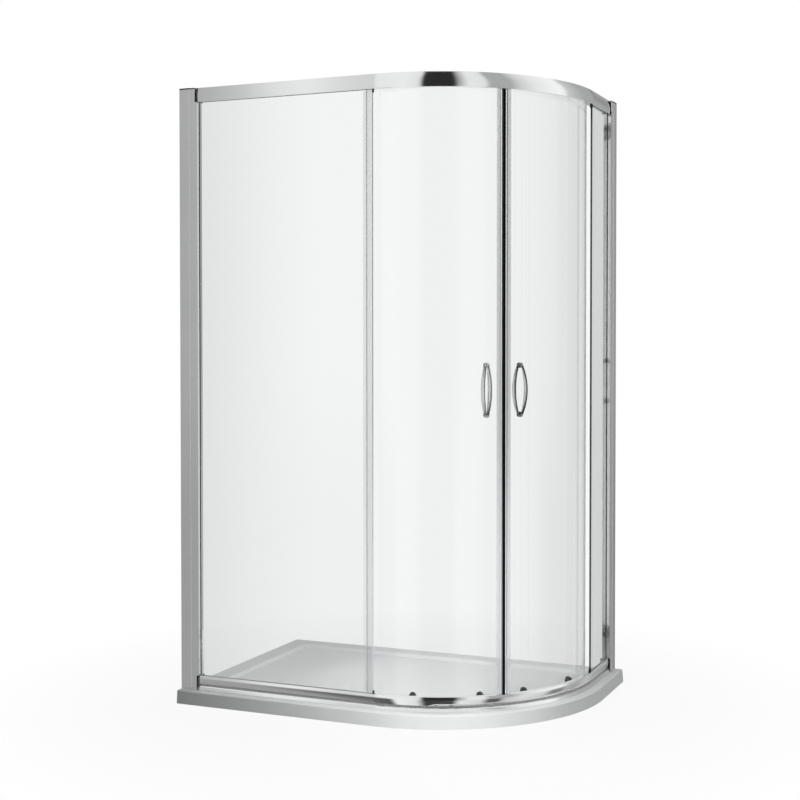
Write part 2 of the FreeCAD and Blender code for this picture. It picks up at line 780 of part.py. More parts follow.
# Rubber buffer that ends the travel of each door's rear roller.
rear_stop_angle = math.radians(hanger_angle_rear - door_travel_deg)
buffer_end_x = centre_x + wheel_track_radius * math.sin(rear_stop_angle) - wheel_radius_top - buffer_gap
door_buffer = front_box(buffer_end_x - buffer_length, buffer_end_x, leg_inner_s + seat_gap,
                        ledge_edge_s - seat_gap, top_ledge_z, top_ledge_z + buffer_height)
add("door_buffers", door_buffer, mirrored(door_buffer))


# ---- doors -----------------------------------------------------------------------
def past_tangent(distance):
    """Angle at which the door's middle surface lies a distance behind the tangent."""
    return -math.degrees(distance / door_glass_radius)


def before_meeting(distance):
    """Angle at which the door's middle surface lies a distance before the meeting line."""
    return meeting_angle - math.degrees(distance / door_glass_radius)


trailing_angle = past_tangent(door_trailing_overlap)
hanger_angles = {"rear": hanger_angle_rear, "front": hanger_angle_front}
handle_at = meeting_angle - handle_angle
handle_heights = (handle_mid_height - handle_spacing / 2, handle_mid_height + handle_spacing / 2)


def through_glass(radius, z):
    return radial_cylinder(radius, door_outer_s - overrun, door_inner_s + overrun, z)


def make_door_glass():
    face = band(door_outer_s, door_inner_s, door_glass_low, door_glass_high)
    glass = along_bend(face, trailing_angle, before_meeting(door_glass_leading))
    holes = []
    for angle in hanger_angles.values():
        for z in (top_wheel_z, bottom_bolt_z):
            holes.append(at_angle(through_glass(glass_hole_radius, z), angle))
    for z in handle_heights:
        holes.append(at_angle(through_glass(handle_stud_radius + handle_hole_gap, z), handle_at))
    return glass.cut(holes)


def glass_slot(from_angle, to_angle):
    face = band(door_outer_s - seal_fit, door_inner_s + seal_fit, seal_low - overrun, seal_high + overrun)
    return along_bend(face, from_angle, to_angle)


def make_magnet_carrier():
    """U that grips the leading edge, with a cradle for the magnet strip."""
    start = before_meeting(carrier_width)
    body = along_bend(band(seal_outer_s, seal_inner_s, seal_low, seal_high), start,
                      before_meeting(magnet_width + seat_gap))
    return body.cut(glass_slot(start - 1, before_meeting(door_glass_leading - seal_end_gap)))


def make_magnet_strip():
    face = band(door_outer_s - magnet_proud, door_inner_s + magnet_proud, seal_low, seal_high)
    return along_bend(face, before_meeting(magnet_width), before_meeting(meeting_gap))


def make_trailing_seal():
    """U on the trailing edge with a fin that wipes the back of the fixed glass."""
    web_end = past_tangent(door_trailing_overlap + seal_end_gap + seal_wall)
    leg_end = past_tangent(door_trailing_overlap + trailing_seal_setback - trailing_seal_width)
    body = along_bend(band(seal_outer_s, seal_inner_s, seal_low, seal_high), web_end, leg_end)
    slot = glass_slot(past_tangent(door_trailing_overlap + seal_end_gap), leg_end + 1)
    root_x = centre_x - door_trailing_overlap + fin_setback
    leg_radius = corner_radius - seal_outer_s
    root_s = corner_radius - leg_radius * math.cos(math.radians(trailing_angle)) + seal_wall / 2
    tip_s = fixed_inner_s + fin_gap
    corners = [(root_x, root_s), (root_x - fin_lean, tip_s), (root_x - fin_lean + fin_thickness, tip_s),
               (root_x + fin_root_thickness, root_s)]
    fin = upright([(x - wall_x, s) for x, s in corners], bottom_rail_high + fin_end_gap, top_rail_low - fin_end_gap)
    return body.cut(slot).fuse(fin)


def bow_section(reach, z, width, thick, tilt):
    """Ellipse across the handle's bow; reach counts from the glass's middle plane."""
    wire = Part.Wire(Part.Ellipse(Vector(0, 0, 0), width / 2, thick / 2).toShape())
    wire.rotate(Vector(0, 0, 0), Vector(1, 0, 0), tilt)
    wire.translate(Vector(centre_x, door_glass_s - reach - half_depth, z))
    return wire


def make_outer_handle():
    """Bow handle on two round feet, slimmer towards its ends; the upper half mirrors the lower."""
    half = handle_spacing / 2
    rise = handle_reach - handle_end_reach
    bow_radius = (half * half + rise * rise) / (2 * rise)
    low_z = handle_heights[0]
    sections = []
    for share in (-1.0, -0.6, -0.2, 0.2, 0.6):
        z_off = half * share
        drop = bow_radius - math.sqrt(bow_radius * bow_radius - z_off * z_off)
        slim = 1 - handle_slimming * share ** 2
        tilt = math.degrees(math.asin(z_off / bow_radius))
        sections.append(bow_section(handle_reach - drop, handle_mid_height + z_off, handle_width * slim,
                                    handle_thickness * slim, tilt))
    bow = Part.makeLoft(sections, True, False)
    foot_s = door_outer_s - handle_washer_thickness - clearance
    neck_s = foot_s - handle_neck_start
    neck_length = handle_end_reach - glass_half - handle_neck_start
    boss = radial_cylinder(handle_boss_radius, foot_s - handle_boss_thickness, foot_s, low_z)
    neck = outward_cone(handle_boss_radius * 0.62, handle_boss_radius * 0.5, neck_s, neck_length, low_z)
    bore = radial_cylinder(handle_stud_radius, door_outer_s - handle_stud_reach - clearance, door_outer_s, low_z)
    upper_room = mid_box(handle_width, -half_depth, door_glass_s, handle_mid_height, total_height)
    lower = bow.fuse([boss, neck]).cut([bore, upper_room])
    return lower.fuse(lower.mirror(Vector(0, 0, handle_mid_height), up))


def make_handle_fixings():
    """Studs through the glass and the soft washers under the handle's feet."""
    pieces = []
    washer_radius = handle_boss_radius - handle_washer_inset
    for z in handle_heights:
        pieces.append(radial_cylinder(handle_stud_radius - pin_gap, door_outer_s - handle_stud_reach,
                                      door_inner_s + handle_stud_reach, z))
        for low in (door_outer_s - seat_gap - handle_washer_thickness, door_inner_s + seat_gap):
            high = low + handle_washer_thickness
            hole = radial_cylinder(handle_stud_radius + seat_gap, low - overrun, high + overrun, z)
            pieces.append(radial_cylinder(washer_radius, low, high, z).cut(hole))
    return [at_angle(piece, handle_at) for piece in pieces]


def wheel_axle(back_s, z):
    """Axle with a collar behind the wheel and a head in front of it."""
    axle = radial_cylinder(axle_radius, wheel_low_s - axle_overhang, back_s, z)
    collar = radial_cylinder(axle_radius + axle_collar_wall, wheel_high_s + clearance, back_s, z)
    head_high = wheel_low_s - axle_head_gap
    head = radial_cylinder(axle_radius + axle_head_wall, head_high - axle_head_thickness, head_high, z)
    return [axle, collar, head]


def make_top_hanger():
    """Eccentric bolt: cap inside, shank through the glass, axle for the wheel outside."""
    z = top_wheel_z
    flange_radius = top_wheel_z - top_ledge_z - ledge_lip_height - hanger_flange_gap
    cap = radial_cylinder(inner_cap_radius, door_inner_s + inner_cap_gap, door_inner_s + inner_cap_depth, z)
    cap = cap.makeFillet(inner_cap_rounding, edges_at_s(cap, door_inner_s + inner_cap_depth))
    flange_high = door_outer_s - seat_gap
    flange = radial_cylinder(flange_radius, flange_high - hanger_flange_thickness, flange_high, z)
    return cap.fuse([through_glass(shank_radius, z), flange] + wheel_axle(door_outer_s, z))


def make_wheel(radius, z):
    wheel = radial_cylinder(radius, wheel_low_s, wheel_high_s, z)
    wheel = wheel.makeFillet(wheel_rounding, edges_at_s(wheel, wheel_low_s) + edges_at_s(wheel, wheel_high_s))
    recess = radial_cylinder(radius * 0.68, wheel_low_s - overrun, wheel_low_s + wheel_web_recess, z)
    recess = recess.cut(radial_cylinder(radius * 0.46, wheel_low_s - 2 * overrun, wheel_high_s, z))
    bore = radial_cylinder(axle_radius + pin_gap, wheel_low_s - overrun, wheel_high_s + overrun, z)
    return wheel.cut([recess, bore])


# The sprung slider of the bottom roller runs in a pocket of the housing behind the glass.
pocket_low_s = door_inner_s + slider_pocket_setback
pocket_high_s = pocket_low_s + slider_pocket_depth
housing_low = bottom_bolt_z - housing_below_bolt
housing_high = bottom_bolt_z + housing_above_bolt
pocket_top_z = housing_high - slider_pocket_roof
slider_low = bottom_wheel_z - slider_below_axle


def make_bottom_housing():
    """Tapered cap outside, bolt through the glass, and the slider's case inside."""
    z = bottom_bolt_z
    cap_back = door_outer_s - seat_gap
    cap = outward_cone(bolt_cap_radius, bolt_cap_tip_radius, cap_back, bolt_cap_reach, z)
    cap = cap.makeFillet(bolt_cap_rounding, edges_at_s(cap, cap_back - bolt_cap_reach))
    case_high_s = pocket_high_s + housing_wall
    case = mid_box(housing_half_width, door_inner_s + housing_gap, case_high_s, housing_low, housing_high)
    case = case.makeFillet(housing_rounding, edges_at_s(case, case_high_s))
    pocket = mid_box(slider_pocket_half, pocket_low_s, pocket_high_s, housing_low - overrun, pocket_top_z)
    return cap.fuse([through_glass(shank_radius, z), case]).cut(pocket)


def make_bottom_release():
    """Slider with a finger tab below; it carries the bottom wheel's axle."""
    z = bottom_wheel_z
    half = slider_pocket_half - clearance
    back_s = pocket_high_s - clearance
    stem = mid_box(half, pocket_low_s + clearance, back_s, slider_low, pocket_top_z - release_travel)
    block = mid_box(half, lip_inner_s + slider_lip_gap, back_s, slider_low, door_glass_low - slider_below_glass)
    tab = mid_box(housing_half_width - slider_tab_inset, back_s - slider_tab_root, pocket_high_s + slider_tab_reach,
                  slider_low, slider_low + slider_tab_height)
    return stem.fuse([block, tab] + wheel_axle(lip_inner_s + slider_axle_root, z))


outer_handle = make_outer_handle()
inner_handle = outer_handle.mirror(Vector(0, door_glass_s - half_depth, 0), Vector(0, 1, 0))
door_pieces = {
    "door_glass": [make_door_glass()],
    "magnet_carrier": [make_magnet_carrier()],
    "magnet_strip": [make_magnet_strip()],
    "trailing_seal": [make_trailing_seal()],
    "handle_outer": [at_angle(outer_handle, handle_at)],
    "handle_inner": [at_angle(inner_handle, handle_at)],
    "handle_fixings": make_handle_fixings(),
    "top_hangers": [at_angle(make_top_hanger(), angle) for angle in hanger_angles.values()],
    "bottom_housings": [at_angle(make_bottom_housing(), angle) for angle in hanger_angles.values()],
}
for place, angle in hanger_angles.items():
    door_pieces["top_wheel_" + place] = [at_angle(make_wheel(wheel_radius_top, top_wheel_z), angle)]
    door_pieces["bottom_wheel_" + place] = [at_angle(make_wheel(wheel_radius_bottom, bottom_wheel_z), angle)]
    door_pieces["bottom_release_" + place] = [at_angle(make_bottom_release(), angle)]

for name, solids in door_pieces.items():
    add("left_" + name, *solids)
    add("right_" + name, *[mirrored(solid) for solid in solids])


# ---- export ------------------------------------------------------------------------
for name, shape in parts.items():
    if not shape.isValid():
        print("not valid:", name)
    shape.exportStep("parts/" + name + ".step")
    box = shape.BoundBox
    print("%-28s solids %d  volume %.0f  x %.1f..%.1f  y %.1f..%.1f  z %.1f..%.1f" % (
        name, len(shape.Solids), shape.Volume, box.XMin, box.XMax, box.YMin, box.YMax, box.ZMin, box.ZMax))
print(len(parts), "parts")
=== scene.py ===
import json
import math

import bmesh
import bpy
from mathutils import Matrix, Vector


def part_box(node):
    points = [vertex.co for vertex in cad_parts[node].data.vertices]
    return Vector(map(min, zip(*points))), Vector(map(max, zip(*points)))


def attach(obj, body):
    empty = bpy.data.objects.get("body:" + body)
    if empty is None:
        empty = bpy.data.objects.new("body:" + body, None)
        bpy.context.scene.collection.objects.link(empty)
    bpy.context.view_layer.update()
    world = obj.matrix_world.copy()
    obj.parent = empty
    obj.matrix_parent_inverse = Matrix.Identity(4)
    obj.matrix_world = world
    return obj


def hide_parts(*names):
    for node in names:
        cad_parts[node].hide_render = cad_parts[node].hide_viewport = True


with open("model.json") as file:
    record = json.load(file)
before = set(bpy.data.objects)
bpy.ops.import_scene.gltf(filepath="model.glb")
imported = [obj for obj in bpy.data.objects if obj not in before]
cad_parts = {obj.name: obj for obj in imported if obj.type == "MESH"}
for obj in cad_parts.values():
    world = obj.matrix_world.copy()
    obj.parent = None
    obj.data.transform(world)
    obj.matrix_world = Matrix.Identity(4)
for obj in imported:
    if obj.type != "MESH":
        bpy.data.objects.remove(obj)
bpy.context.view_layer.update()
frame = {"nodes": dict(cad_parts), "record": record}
nodes = frame["nodes"]
scene = bpy.context.scene

# ---- places and sizes, in metres, taken from the frame --------------------------
TRAY_LOW, TRAY_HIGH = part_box("shower_tray")
BEND_RADIUS = 0.55
BEND_CENTRE = Vector((TRAY_HIGH.x - BEND_RADIUS, TRAY_LOW.y + BEND_RADIUS, 0))
TOP_RAIL_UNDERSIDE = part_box("top_rail")[0].z
BOTTOM_RAIL_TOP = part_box("bottom_rail")[1].z
GROOVE_LOW = TRAY_HIGH.z + 0.0125
GROOVE_HIGH = TRAY_HIGH.z + 0.0195

# Cases of the bottom rollers: where their bolts stand round the bend, in degrees from the
# front, and the round top that is cut over each bolt.
CASE_ANGLES = {"left_bottom_housings": (12.4, 36.4), "right_bottom_housings": (77.6, 53.6)}
CASE_FROM_CENTRE = 0.478
CASE_TOP_ABOVE_BOLT = 0.009
CASE_DOME_RADIUS = 0.0092
CASE_DOME_SIDES = 96
CASE_BOLT_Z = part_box("left_bottom_housings")[1].z - CASE_TOP_ABOVE_BOLT
CASE_CUTTER_SIZE = (0.04, 0.08, 0.02)
CASE_CUTTER_BORE_LENGTH = 0.12

# Merging of the CAD meshes: vertex distance, angle between faces that count as one flat,
# and the angle up to which faces shade as one curve.
MERGE_DISTANCE = 0.000002
FLAT_ANGLE = math.radians(0.5)
CURVE_ANGLE = math.radians(30)

# ---- camera ------------------------------------------------------------------------
# Fitted to the outlines of the photograph: place in metres, yaw and pitch in radians.
CAMERA_PLACE = (1.7323, -4.0549, 1.1175)
CAMERA_YAW = 0.3962
CAMERA_PITCH = 0.0227
CAMERA_LENS_MM = 62.76
CAMERA_SENSOR_MM = 36
CAMERA_SHIFT = (-0.0217, -0.0348)


def make_camera():
    data = bpy.data.cameras.new("camera")
    camera = bpy.data.objects.new("camera", data)
    scene.collection.objects.link(camera)
    camera.location = CAMERA_PLACE
    camera.rotation_euler = (math.pi / 2 - CAMERA_PITCH, 0, CAMERA_YAW)
    data.lens = CAMERA_LENS_MM
    data.sensor_width = CAMERA_SENSOR_MM
    data.shift_x, data.shift_y = CAMERA_SHIFT
    data.clip_end = 60
    scene.camera = camera


# ---- node helpers ----------------------------------------------------------------------
class Value:
    """A socket that takes part in sums; every sum adds one Math node."""

    def __init__(self, tree, socket):
        self.tree = tree
        self.socket = socket

    def output(self, name):
        return Value(self.tree, self.socket.node.outputs[name])

    def math(self, operation, *others):
        node = self.tree.nodes.new("ShaderNodeMath")
        node.operation = operation
        for slot, item in zip(node.inputs, (self, *others)):
            if isinstance(item, Value):
                self.tree.links.new(item.socket, slot)
            else:
                slot.default_value = item
        return Value(self.tree, node.outputs[0])

    def __add__(self, other):
        return self.math("ADD", other)

    __radd__ = __add__

    def __mul__(self, other):
        return self.math("MULTIPLY", other)

    __rmul__ = __mul__

    def __sub__(self, other):
        return self.math("SUBTRACT", other)

    def __rsub__(self, other):
        return (self * -1.0) + other

    def __truediv__(self, other):
        return self.math("DIVIDE", other)

    def either(self, other):
        return self.math("MAXIMUM", other)

    def clamp(self):
        return self.math("MAXIMUM", 0.0).math("MINIMUM", 1.0)

    def rises(self, low, high):
        """0 below low, 1 above high, straight between; with high under low it falls."""
        return ((self - low) * (1.0 / (high - low))).clamp()


class Graph:
    """One node tree, and the calls that add its nodes; i0, i1 ... are sockets by number."""

    def __init__(self, tree):
        self.tree = tree

    def node(self, kind, settings=None, out=0, **inputs):
        made = self.tree.nodes.new(kind)
        for key, setting in (settings or {}).items():
            if key == "stops":
                ramp = made.color_ramp.elements
                while len(ramp) < len(setting):
                    ramp.new(1.0)
                for stop, (place, colour) in zip(ramp, setting):
                    stop.position = place
                    stop.color = (*colour, 1)
            else:
                setattr(made, key, setting)
        for key, item in inputs.items():
            numbered = key[0] == "i" and key[1:].isdigit()
            socket = made.inputs[int(key[1:]) if numbered else key]
            if isinstance(item, Value):
                self.tree.links.new(item.socket, socket)
            else:
                socket.default_value = item
        return Value(self.tree, made.outputs[out])

    def ray(self, kind):
        return self.node("ShaderNodeLightPath").output("Is " + kind + " Ray")

    def mix(self, factor, first, second):
        return self.node("ShaderNodeMix", {"data_type": "RGBA"}, out=2, i0=factor, i6=first, i7=second)

    def blend(self, factor, first, second):
        return self.node("ShaderNodeMixShader", i0=factor, i1=first, i2=second)


class Finish(Graph):
    """One material: its Principled shader and patterns on Object coordinates."""

    def __init__(self, name):
        self.material = bpy.data.materials.new(name)
        self.material.use_nodes = True
        super().__init__(self.material.node_tree)
        self.bsdf = self.tree.nodes["Principled BSDF"]
        self.place = self.node("ShaderNodeTexCoord", out=3)
        self.axes = self.node("ShaderNodeSeparateXYZ", Vector=self.place)

    def along(self, axis):
        return self.axes.output(axis)

    def noise(self, scale, detail=3.0, roughness=0.5, stretch=(1, 1, 1)):
        mapped = self.node("ShaderNodeMapping", Vector=self.place, Scale=stretch)
        return self.node("ShaderNodeTexNoise", Vector=mapped, Scale=scale, Detail=detail,
                         Roughness=roughness)

    def bump(self, height, strength, distance):
        return self.node("ShaderNodeBump", Height=height, Strength=strength, Distance=distance)

    def set(self, **sockets):
        for key, item in sockets.items():
            socket = self.bsdf.inputs[key.replace("_", " ")]
            if isinstance(item, Value):
                self.tree.links.new(item.socket, socket)
            else:
                socket.default_value = item
        return self

    def surface(self, shader):
        self.tree.links.new(shader.socket, self.tree.nodes["Material Output"].inputs[0])
        return self


def rgb(red, green, blue):
    return (red, green, blue, 1.0)


# ---- materials --------------------------------------------------------------------------
def stone_resin():
    """White gelcoat on stone resin: a faint mottle and a fine satin grain."""
    finish = Finish("stone_resin")
    mottle = finish.noise(14.0, 4.0)
    grain = finish.noise(900.0, 2.0)
    finish.set(Base_Color=finish.mix(mottle, rgb(0.80, 0.81, 0.81), rgb(0.86, 0.865, 0.87)),
               Roughness=finish.noise(60.0) * 0.12 + 0.3, Normal=finish.bump(grain, 0.05, 0.0003),
               Coat_Weight=0.2, Coat_Roughness=0.2)
    return finish.material


def polished(finish):
    """Colour and roughness of a bright extrusion with faint draw lines and finger-dulled patches."""
    patches = finish.noise(9.0, 3.0)
    lines = finish.noise(60.0, 2.0, stretch=(6.0, 6.0, 0.2))
    colour = finish.mix(patches, rgb(0.79, 0.795, 0.80), rgb(0.84, 0.845, 0.85))
    return colour, patches * 0.04 + lines * 0.03 + 0.03


def polished_aluminium():
    finish = Finish("polished_aluminium")
    colour, roughness = polished(finish)
    return finish.set(Base_Color=colour, Metallic=1.0, Roughness=roughness).material


def rail_painted_groove_shade():
    """The bottom rail: polished, with painted shade and painted reflection as dark specks along its groove,
    where the same specks raise a real grain and the gloss is duller.
    """
    finish = Finish("rail_painted_groove_shade")
    colour, roughness = polished(finish)
    height = finish.along("Z")
    band = height.rises(GROOVE_LOW, GROOVE_LOW + 0.0006) * height.rises(GROOVE_HIGH, GROOVE_HIGH - 0.0006)
    specks = finish.noise(420.0, 3.0, 0.7, stretch=(1, 1, 1.6)).rises(0.38, 0.62)
    # Painted shade and painted reflection: dark grey specks coloured into the groove.
    painted_groove_shade = finish.mix(specks, rgb(0.18, 0.18, 0.18), rgb(0.64, 0.64, 0.64))
    finish.set(Base_Color=finish.mix(band, colour, painted_groove_shade), Metallic=1.0, Roughness=roughness + band * 0.38,
               Normal=finish.bump(specks * band, 0.5, 0.0004))
    return finish.material


def chrome_plate():
    finish = Finish("chrome_plate")
    haze = finish.noise(40.0, 3.0)
    finish.set(Base_Color=rgb(0.83, 0.835, 0.84), Metallic=1.0, Roughness=haze * 0.05 + 0.03)
    return finish.material


def handle_chrome_painted_reflection():
    """Chrome of the slim bows with a painted dark reflection: its colour goes near black where the surface
    turns from the eye.
    """
    finish = Finish("handle_chrome_painted_reflection")
    # Painted reflection: the colour goes near black on the flanks that turn from the eye.
    painted_dark_flank = finish.node("ShaderNodeLayerWeight", out=1, Blend=0.5).rises(0.05, 0.24)
    haze = finish.noise(40.0, 3.0)
    finish.set(Base_Color=finish.mix(painted_dark_flank, rgb(0.93, 0.935, 0.94), rgb(0.035, 0.035, 0.037)), Metallic=1.0,
               Roughness=haze * 0.05 + 0.03)
    return finish.material


def clear_glass():
    """Clear toughened glass that lets lamp light through for its shadow."""
    finish = Finish("clear_glass")
    finish.set(Base_Color=rgb(0.91, 0.92, 0.917), Roughness=0.0, IOR=1.5, Transmission_Weight=1.0)
    through = finish.node("ShaderNodeBsdfTransparent", Color=rgb(0.93, 0.95, 0.945))
    whole = Value(finish.tree, finish.bsdf.outputs[0])
    return finish.surface(finish.blend(finish.ray("Shadow"), whole, through)).material


def glass_edge(name, low, high):
    """Ground and arrised edge of the glass, a little frosted."""
    finish = Finish(name)
    cloud = finish.noise(120.0, 3.0)
    finish.set(Base_Color=finish.mix(cloud, rgb(*low), rgb(*high)), Roughness=0.25, Coat_Weight=0.4)
    return finish.material


def moulded(name, low, high, roughness, gloss=0.5, grain_scale=1500.0):
    """Moulded plastic or rubber with a fine spark-eroded grain."""
    finish = Finish(name)
    tone = finish.noise(35.0, 3.0)
    grain_height = finish.noise(grain_scale, 2.0)
    finish.set(Base_Color=finish.mix(tone, rgb(*low), rgb(*high)), Roughness=tone * 0.1 + roughness,
               Specular_IOR_Level=gloss, Normal=finish.bump(grain_height, 0.08, 0.0002))
    return finish.material


def bracket_moulding():
    """Dark glossy moulding whose ends beside the glass are black."""
    finish = Finish("bracket_moulding")
    height = finish.along("Z")
    black = height.rises(BOTTOM_RAIL_TOP - 0.008, BOTTOM_RAIL_TOP - 0.006) * height.rises(
        TOP_RAIL_UNDERSIDE + 0.008, TOP_RAIL_UNDERSIDE + 0.006)
    tone = finish.noise(50.0, 3.0)
    grey = finish.mix(tone, rgb(0.20, 0.20, 0.205), rgb(0.26, 0.26, 0.265))
    finish.set(Base_Color=finish.mix(black, grey, rgb(0.03, 0.03, 0.032)), Roughness=tone * 0.1 + 0.22,
               Coat_Weight=0.3)
    return finish.material


def clear_pvc(name, low, high, alpha, edge_alpha):
    """Soft clear extrusion: see-through where it faces the eye, denser along its rims."""
    finish = Finish(name)
    tone = finish.noise(25.0, 3.0, stretch=(1, 1, 0.1))
    rim = finish.node("ShaderNodeLayerWeight", out=1, Blend=0.5)
    finish.set(Base_Color=finish.mix(tone, rgb(*low), rgb(*high)), Roughness=0.18,
               Alpha=rim * (edge_alpha - alpha) + alpha, Coat_Weight=0.4)
    return finish.material


def brushed_steel():
    finish = Finish("steel")
    lines = finish.noise(300.0, 2.0, stretch=(1, 1, 8))
    finish.set(Base_Color=rgb(0.68, 0.68, 0.69), Metallic=1.0, Roughness=lines * 0.15 + 0.18)
    return finish.material


MATERIALS = {
    "stone_resin": stone_resin(),
    "polished_aluminium": polished_aluminium(),
    "rail_painted_groove_shade": rail_painted_groove_shade(),
    "chrome_plate": chrome_plate(),
    "handle_chrome_painted_reflection": handle_chrome_painted_reflection(),
    "glass": clear_glass(),
    "glass_edge": glass_edge("glass_edge", (0.05, 0.10, 0.10), (0.11, 0.19, 0.19)),
    "pale_glass_edge": glass_edge("pale_glass_edge", (0.72, 0.75, 0.76), (0.82, 0.85, 0.86)),
    "white_pvc": clear_pvc("white_pvc", (0.80, 0.81, 0.86), (0.90, 0.91, 0.95), 0.12, 0.5),
    "clear_pvc": clear_pvc("clear_pvc", (0.78, 0.79, 0.84), (0.88, 0.89, 0.93), 0.03, 0.3),
    "clear_bead": clear_pvc("clear_bead", (0.80, 0.81, 0.84), (0.88, 0.89, 0.92), 0.01, 0.1),
    "magnet_black": moulded("magnet_black", (0.002, 0.002, 0.002), (0.008, 0.008, 0.008), 0.5, gloss=0.1),
    "dark_plastic": moulded("dark_plastic", (0.022, 0.022, 0.024), (0.045, 0.045, 0.048), 0.34),
    "bracket_moulding": bracket_moulding(),
    "grey_plastic": moulded("grey_plastic", (0.40, 0.41, 0.42), (0.50, 0.51, 0.52), 0.4),
    "nylon": moulded("nylon", (0.78, 0.78, 0.76), (0.86, 0.86, 0.84), 0.3),
    "rubber": moulded("rubber", (0.20, 0.21, 0.22), (0.30, 0.31, 0.32), 0.5),
    "steel": brushed_steel(),
}


# ---- CAD nodes and their finished copies ------------------------------------------------
SLOT_OF = {entry["node"]: entry["material_slot"] for entry in frame["record"]["subparts"]}
BODY_OF = {node: body for body, members in frame["record"]["behaviour"]["bodies"].items() for node in members}


def give_material(piece, *names):
    piece.data.materials.clear()
    for name in names:
        piece.data.materials.append(MATERIALS[name])


def cut(piece, cutter):
    """Takes the cutter out of the piece and removes it."""
    modifier = piece.modifiers.new("cut", "BOOLEAN")
    modifier.operation = "DIFFERENCE"
    modifier.solver = "EXACT"
    modifier.object = cutter
    bpy.ops.object.select_all(action="DESELECT")
    bpy.context.view_layer.objects.active = piece
    piece.select_set(True)
    bpy.ops.object.modifier_apply(modifier="cut")
    piece.select_set(False)
    bpy.data.objects.remove(cutter)


def dome_over_bolt(piece, degrees):
    """Rounds the top of a roller case over its bolt, as a half cylinder along the bolt."""
    turn = math.radians(degrees)
    bolt = BEND_CENTRE + Vector((math.sin(turn), -math.cos(turn), 0)) * CASE_FROM_CENTRE
    bolt.z = CASE_BOLT_Z
    above = Vector((0, 0, CASE_CUTTER_SIZE[2] / 2))
    bpy.ops.object.select_all(action="DESELECT")
    bpy.ops.mesh.primitive_cube_add(size=1, location=bolt + above, rotation=(0, 0, turn),
                                    scale=CASE_CUTTER_SIZE)
    block = bpy.context.active_object
    bpy.ops.object.select_all(action="DESELECT")
    bpy.ops.mesh.primitive_cylinder_add(vertices=CASE_DOME_SIDES, radius=CASE_DOME_RADIUS,
                                        depth=CASE_CUTTER_BORE_LENGTH, location=bolt,
                                        rotation=(math.pi / 2, 0, turn))
    cut(block, bpy.context.active_object)
    cut(piece, block)


def smooth_copy(node):
    """A merged copy of a CAD solid with smooth curves and flat flats, in its place."""
    piece = nodes[node].copy()
    piece.data = nodes[node].data.copy()
    piece.name = node + "_finish"
    piece.parent = None
    for key in list(piece.keys()):
        del piece[key]
    scene.collection.objects.link(piece)
    shape = bmesh.new()
    shape.from_mesh(piece.data)
    bmesh.ops.remove_doubles(shape, verts=shape.verts, dist=MERGE_DISTANCE)
    bmesh.ops.dissolve_limit(shape, angle_limit=FLAT_ANGLE, verts=shape.verts, edges=shape.edges)
    shape.to_mesh(piece.data)
    shape.free()
    for degrees in CASE_ANGLES.get(node, ()):
        dome_over_bolt(piece, degrees)
    bpy.ops.object.select_all(action="DESELECT")
    bpy.context.view_layer.objects.active = piece
    piece.select_set(True)
    bpy.ops.object.shade_smooth_by_angle(angle=CURVE_ANGLE)
    flats = piece.modifiers.new("flats", "WEIGHTED_NORMAL")
    flats.keep_sharp = True
    bpy.ops.object.modifier_apply(modifier="flats")
    piece.select_set(False)
    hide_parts(node)
    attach(piece, BODY_OF[node])
    return piece


for node, thing in nodes.items():
    give_material(thing, SLOT_OF[node])

# Nodes whose finish isn't simply that of their slot.
# The bottom rail's finish has painted shade and painted reflection in its groove.
FINISH_OF = {"bottom_rail": "rail_painted_groove_shade", "post_gasket_left": "clear_bead",
             "post_gasket_right": "clear_bead"}
for end in ("top_left", "top_right", "bottom_left", "bottom_right"):
    FINISH_OF["rail_bracket_" + end] = "bracket_moulding"
# The handles' chrome has a painted dark reflection on its flanks.
for end in ("left", "right"):
    FINISH_OF[end + "_handle_outer"] = FINISH_OF[end + "_handle_inner"] = "handle_chrome_painted_reflection"


def outward(place, curved, flat_normal):
    """Direction square to a pane at a place on it."""
    return (place - BEND_CENTRE).to_2d().normalized().to_3d() if curved else Vector(flat_normal)


def finish_pane(node, edge, curved, flat_normal=(0, 0, 0)):
    """Glass with its ground edges and hole walls in another finish."""
    pane = smooth_copy(node)
    give_material(pane, "glass", edge)
    for face in pane.data.polygons:
        square = outward(face.center, curved, flat_normal)
        face.material_index = 0 if abs(face.normal.dot(square)) > 0.5 else 1
    return pane


# Finish of each pane's edges, whether it is curved, and the direction square to a flat one.
PANES = {"fixed_glass_left": ("pale_glass_edge", False, (0, 1, 0)),
         "fixed_glass_right": ("glass_edge", False, (1, 0, 0)),
         "left_door_glass": ("pale_glass_edge", True), "right_door_glass": ("pale_glass_edge", True)}
for node in list(nodes):
    if node in PANES:
        finish_pane(node, *PANES[node])
    else:
        give_material(smooth_copy(node), FINISH_OF.get(node, SLOT_OF[node]))


